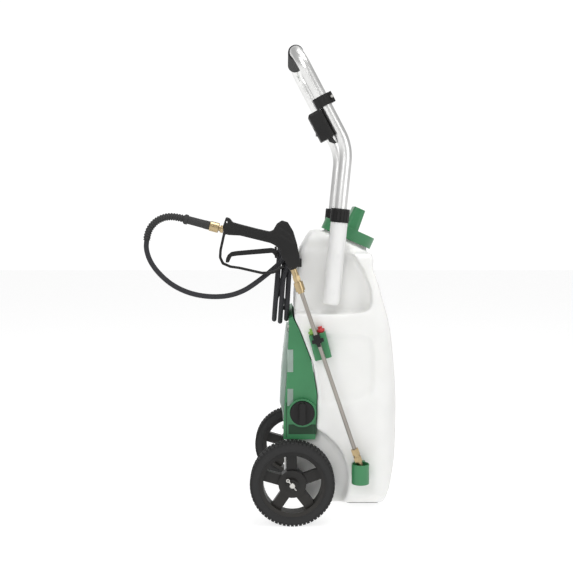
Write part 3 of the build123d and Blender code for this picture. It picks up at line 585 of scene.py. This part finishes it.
class WASHER_OT_hose(bpy.types.Operator):
    """Adds the hose from the gun, its coil on the hook, and the ribbed sleeve"""
    bl_idname = "washer.hose"
    bl_label = "Hose"

    def execute(self, context):
        sizes = context.scene.washer_sizes
        line = [FERRULE_START, FERRULE_START + INLET_WAY * 0.02, FERRULE_START + INLET_WAY * 0.04]
        route = line + RESTRICTOR_ROUTE + HOSE_ROUTE + coil_points() + TAIL_ROUTE
        curve = smooth_curve("hose", route)
        curve.bevel_depth = sizes.hose_diameter / 2
        curve.bevel_resolution = 4
        curve.use_fill_caps = True
        hose = bpy.data.objects.new("hose", curve)
        context.scene.collection.objects.link(hose)
        curve.materials.append(material_of("hose_rubber"))
        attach(hose, "chassis")
        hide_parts("hose_run", "hose_hank", "hose_tail")
        guide = read_route(smooth_curve("guide", RESTRICTOR_ROUTE))
        sleeve = self.ribbed_sleeve(guide)
        ferrule = self.ferrule()
        return {"FINISHED"}

    def ribbed_sleeve(self, guide):
        bm = bmesh.new()
        total = sum((b - a).length for a, b in zip(guide, guide[1:]))
        ribs, steps = 20, 160
        rings = []
        for i in range(steps + 1):
            point, way = self.along(guide, total * i / steps)
            crest = 0.5 + 0.5 * cos(2 * pi * ribs * i / steps)
            radius = 0.0066 + 0.0017 * min(1, crest * 1.6) - 0.0004 * i / steps
            matrix = frame_at(point, way)
            rings.append(bmesh.ops.create_circle(bm, segments=24, radius=radius, matrix=matrix)["verts"])
        join_rings(bm, rings)
        return place(bm, "bend_sleeve", "chassis", "black_rubber", ["bend_restrictor"], sharp=60)

    def along(self, guide, distance):
        for a, b in zip(guide, guide[1:]):
            if (b - a).length >= distance:
                break
            distance -= (b - a).length
        way = (b - a).normalized()
        return a + way * min(distance, (b - a).length), way

    def ferrule(self):
        bm = bmesh.new()
        turned(bm, FERRULE_START, INLET_WAY, [
            (0.0, 0.0088), (0.001, 0.0095), (0.012, 0.0095), (0.0125, 0.0091), (0.049, 0.0088), (0.0495, 0.0104),
            (0.051, 0.011), (0.056, 0.011), (0.058, 0.0095),
        ])
        return place(bm, "ferrule_sleeve", "chassis", "black_rubber", ["hose_ferrule"])


class WASHER_OT_tank(bpy.types.Operator):
    """Adds the tank's moulded skin, the leg sleeves, the foot and the drain plug"""
    bl_idname = "washer.tank"
    bl_label = "Tank"

    def execute(self, context):
        sizes = context.scene.washer_sizes
        bm = node_mesh("tank")
        outer_skin(bm)
        soft = remeshed(bm, sizes.shell_voxel, 7)
        place(soft, "tank_skin", "chassis", "tank_plastic", ["tank"], sharp=80)
        for node in ("sleeve_left", "sleeve_right", "tank_foot"):
            rounded(node, 0.0012)
        rounded("drain_plug", 0.0008)
        return {"FINISHED"}


class WASHER_OT_wheels(bpy.types.Operator):
    """Adds the treaded tyres and the spoked wheels"""
    bl_idname = "washer.wheels"
    bl_label = "Wheels"

    def execute(self, context):
        for name, centre in WHEEL_CENTRE.items():
            self.tyre(context, name, centre)
            rounded(f"wheel_{name}", 0.0012)
        return {"FINISHED"}

    def tyre(self, context, name, centre):
        lugs = context.scene.washer_sizes.tread_lugs
        bm = bmesh.new()
        half, base = TYRE_HALF, WHEEL_RADIUS - 0.0022
        profile = [
            (RIM_RADIUS, -half + 0.003), (RIM_RADIUS + 0.002, -half + 0.001), (RIM_RADIUS + 0.006, -half + 0.0002),
            (RIM_RADIUS + 0.011, -half + 0.0008), (base - 0.001, -half + 0.003), (base, -half * 0.6), (base, 0),
            (base, half * 0.6), (base - 0.001, half - 0.003), (RIM_RADIUS + 0.011, half - 0.0008),
            (RIM_RADIUS + 0.006, half - 0.0002), (RIM_RADIUS + 0.002, half - 0.001), (RIM_RADIUS, half - 0.003),
        ]
        verts = [bm.verts.new((r, y, 0)) for r, y in profile]
        edges = [bm.edges.new(pair) for pair in zip(verts, verts[1:] + verts[:1])]
        bmesh.ops.spin(bm, geom=verts + edges, cent=(0, 0, 0), axis=(0, 1, 0), angle=2 * pi, steps=96,
                       use_merge=True, use_duplicate=False)
        for y, width, shift in ((-0.0135, 0.0100, 0), (0, 0.012, 0.5), (0.0135, 0.0100, 0)):
            for i in range(lugs):
                turn = Matrix.Rotation(2 * pi * (i + shift) / lugs, 4, "Y")
                block(bm, turn @ Vector((WHEEL_RADIUS - 0.0021, y, 0)), (0.0036, width, 0.0066), turn)
        bmesh.ops.recalc_face_normals(bm, faces=bm.faces)
        bmesh.ops.translate(bm, verts=bm.verts, vec=centre)
        place(bm, f"tyre_tread_{name}", f"{name}_wheel", "tyre_rubber", [f"tyre_{name}"])


class WASHER_OT_handle(bpy.types.Operator):
    """Adds the collars, the clamp and the switch box"""
    bl_idname = "washer.handle"
    bl_label = "Handle"

    def execute(self, context):
        for node, width in (("collar_left", 0.0008), ("collar_right", 0.0008), ("switch_clamp", 0.0015),
                            ("switch_box", 0.002), ("switch_rocker", 0.0006), ("handle_grip", 0.0015)):
            rounded(node, width)
        return {"FINISHED"}


class WASHER_OT_covers(bpy.types.Operator):
    """Adds the filler cap, the pump cover, its frosted door and the knob"""
    bl_idname = "washer.covers"
    bl_label = "Cap and covers"

    def execute(self, context):
        rounded("cap", 0.003, 4)
        rounded("pump_cover", 0.0012)
        rounded("battery_door", 0.0015)
        rounded("control_knob", 0.0018)
        for node in ("battery", "battery_cradle", "pump_head"):
            rounded(node, 0.002)
        for side in (-1, 1):
            # Painted shade: thin dark green sheets on each side of the pump cover, one where the slot below the knob
            # lies in shadow and a narrow strip up the cover's back edge.
            bm = bmesh.new()
            block(bm, Vector((-0.1475, side * COVER_HALF, 0.2105)), (0.062, 0.0014, 0.022))
            block(bm, Vector((-0.1835, side * COVER_HALF, 0.232)), (0.0016, 0.0016, 0.080))
            place(bm, "cover_painted_shade_near" if side < 0 else "cover_painted_shade_far", "chassis", "painted_shade_green")
            bm = bmesh.new()
            for low, high in ((0.264, 0.303), (0.341, 0.392)):
                block(bm, Vector((-0.1745, side * (COVER_HALF + 0.0008), (low + high) / 2)),
                      (0.013, 0.0012, high - low))
            bmesh.ops.bevel(bm, geom=bm.edges, offset=0.0004, offset_type="OFFSET", segments=2, profile=0.5,
                            affect="EDGES", material=-1, clamp_overlap=True)
            place(bm, "door_tabs_near" if side < 0 else "door_tabs_far", "door", "clear_plastic")
        return {"FINISHED"}


class WASHER_OT_gun(bpy.types.Operator):
    """Adds the trigger gun's moulded body, its trigger and the brass fittings"""
    bl_idname = "washer.gun"
    bl_label = "Gun and lance"

    def execute(self, context):
        sizes = context.scene.washer_sizes
        bm = node_mesh("gun_body")
        rim = [e for e in bm.edges if all(abs(v.co.y - GUN_Y) > GUN_HALF - 0.0003 for v in e.verts)]
        bmesh.ops.bevel(bm, geom=rim, offset=0.006, offset_type="OFFSET", segments=3, profile=0.5,
                        affect="EDGES", material=-1, clamp_overlap=True)
        turned(bm, LANCE_TOP - LANCE_WAY * 0.080, LANCE_WAY, [(0, 0.010), (0.0235, 0.010), (0.0247, 0.009)])
        for i in range(VENTS):
            middle = Vector((-0.1985 + 0.0052 * i, GUN_Y - GUN_HALF, 0.6585 - 0.0035 * i))
            block(bm, middle, (0.0022, 0.004, 0.021), Matrix.Rotation(radians(-24), 4, "Y"))
        soft = remeshed(bm, sizes.gun_voxel, 4)
        place(soft, "gun_moulding", "chassis", "black_plastic", ["gun_body"], sharp=80)
        soft = remeshed(node_mesh("trigger"), 0.0008, 5)
        place(soft, "trigger_moulding", "gun_trigger", "black_plastic", ["trigger"], sharp=80)
        for node in ("gun_inlet", "coupler", "lance_end", "outlet_fitting"):
            rounded(node, 0.0007, 2)
        for node in ("gun_holder", "hose_hook", "lance_clip"):
            rounded(node, 0.0012)
        return {"FINISHED"}


class WASHER_OT_nozzles(bpy.types.Operator):
    """Adds the nozzle holder, its nozzles and the lance cup"""
    bl_idname = "washer.nozzles"
    bl_label = "Nozzles and cup"

    def execute(self, context):
        for node in ("nozzle_holder", "nozzle_fan", "nozzle_jet", "lance_cup"):
            rounded(node, 0.001)
        bm = bmesh.new()
        middle = LANCE_TOP + LANCE_WAY * 0.111 + Vector((0, -0.0075, 0))
        turn = Matrix.Rotation(radians(-14.5), 4, "Y")
        for size in ((0.027, 0.003, 0.0085), (0.008, 0.0036, 0.027)):
            block(bm, middle, size, turn)
        bmesh.ops.bevel(bm, geom=bm.edges, offset=0.0006, offset_type="OFFSET", segments=2, profile=0.5,
                        affect="EDGES", material=-1, clamp_overlap=True)
        place(bm, "clip_front", "chassis", "black_plastic")
        return {"FINISHED"}


class WASHER_OT_finishes(bpy.types.Operator):
    """Gives every node of the frame that still shows its finish"""
    bl_idname = "washer.finishes"
    bl_label = "Finishes"

    def execute(self, context):
        for node, item in frame["nodes"].items():
            item.data.materials.clear()
            # The SHADED table puts painted shade, black, on small parts that sit in shadow.
            item.data.materials.append(material_of(SHADED.get(node, slot_of(node))))
        return {"FINISHED"}


class WASHER_PT_panel(bpy.types.Panel):
    bl_idname = "WASHER_PT_panel"
    bl_label = "Pressure washer"
    bl_space_type = "VIEW_3D"
    bl_region_type = "UI"
    bl_category = "Washer"

    def draw(self, context):
        for group in (context.scene.washer_sizes, context.scene.washer_colours):
            for field in group.__annotations__:
                self.layout.prop(group, field)
        for step in STEPS:
            self.layout.operator(step.bl_idname)


STEPS = (WASHER_OT_stage, WASHER_OT_hose, WASHER_OT_tank, WASHER_OT_wheels, WASHER_OT_handle, WASHER_OT_covers,
         WASHER_OT_gun, WASHER_OT_nozzles, WASHER_OT_finishes)
CLASSES = (WasherSizes, WasherColours, *STEPS, WASHER_PT_panel)


def register():
    for item in CLASSES:
        bpy.utils.register_class(item)
    bpy.types.Scene.washer_sizes = PointerProperty(type=WasherSizes)
    bpy.types.Scene.washer_colours = PointerProperty(type=WasherColours)


def unregister():
    del bpy.types.Scene.washer_colours
    del bpy.types.Scene.washer_sizes
    for item in reversed(CLASSES):
        bpy.utils.unregister_class(item)


def main():
    register()
    make_materials(bpy.context.scene.washer_colours)
    for step in STEPS:
        group, name = step.bl_idname.split(".")
        getattr(getattr(bpy.ops, group), name)()


if __name__ == "__main__":
    main()
